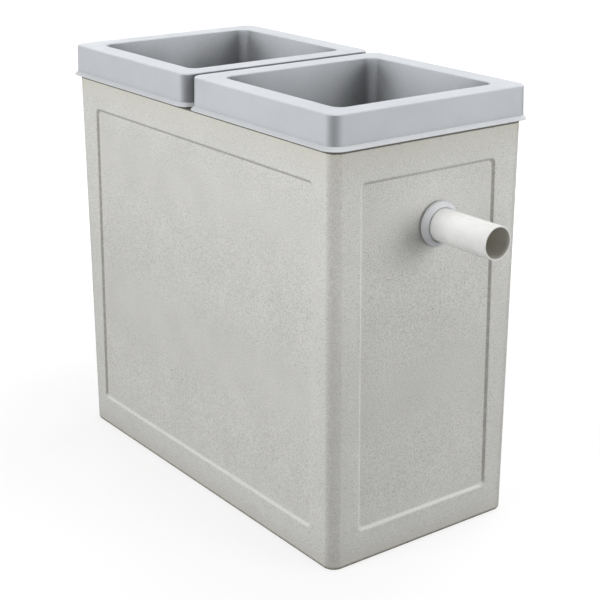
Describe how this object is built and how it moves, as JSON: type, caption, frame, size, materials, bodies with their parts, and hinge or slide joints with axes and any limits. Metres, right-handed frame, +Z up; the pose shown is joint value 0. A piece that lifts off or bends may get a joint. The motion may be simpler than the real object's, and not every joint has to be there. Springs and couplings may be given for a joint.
{
  "type": "grease trap",
  "caption": "Rectangular cast grease trap with recessed side panels, twin open plastic risers on top, pipe stubs with collars on both ends, and a cross wall and dip tees inside.",
  "frame": {"origin": "middle of the footprint on the ground, under the cross wall", "axes": "+X towards the outlet end, +Y across the tank, +Z up"},
  "size_m": [1.064, 0.4216, 0.77],
  "materials": {
    "cast_body": "fine-grained pale grey fibre concrete, matt",
    "riser_plastic": "smooth moulded light grey plastic, satin",
    "white_pipe": "white drain pipe plastic, glossy",
    "collar_plastic": "white moulded plastic with a cool cast",
    "seal_rubber": "dark bedding strip"
  },
  "bodies": {
    "root": {"tank_walls": "cast_body", "tank_floor": "cast_body", "cross_wall": "cast_body", "outlet_riser": "riser_plastic", "outlet_riser_seal": "seal_rubber", "outlet_pipe": "white_pipe", "outlet_mortar_ring": "cast_body", "outlet_collar": "collar_plastic", "outlet_tee": "white_pipe", "outlet_dip_pipe": "white_pipe", "inlet_riser": "riser_plastic", "inlet_riser_seal": "seal_rubber", "inlet_pipe": "white_pipe", "inlet_mortar_ring": "cast_body", "inlet_collar": "collar_plastic", "inlet_tee": "white_pipe", "inlet_dip_pipe": "white_pipe"}
  },
  "joints": []
}
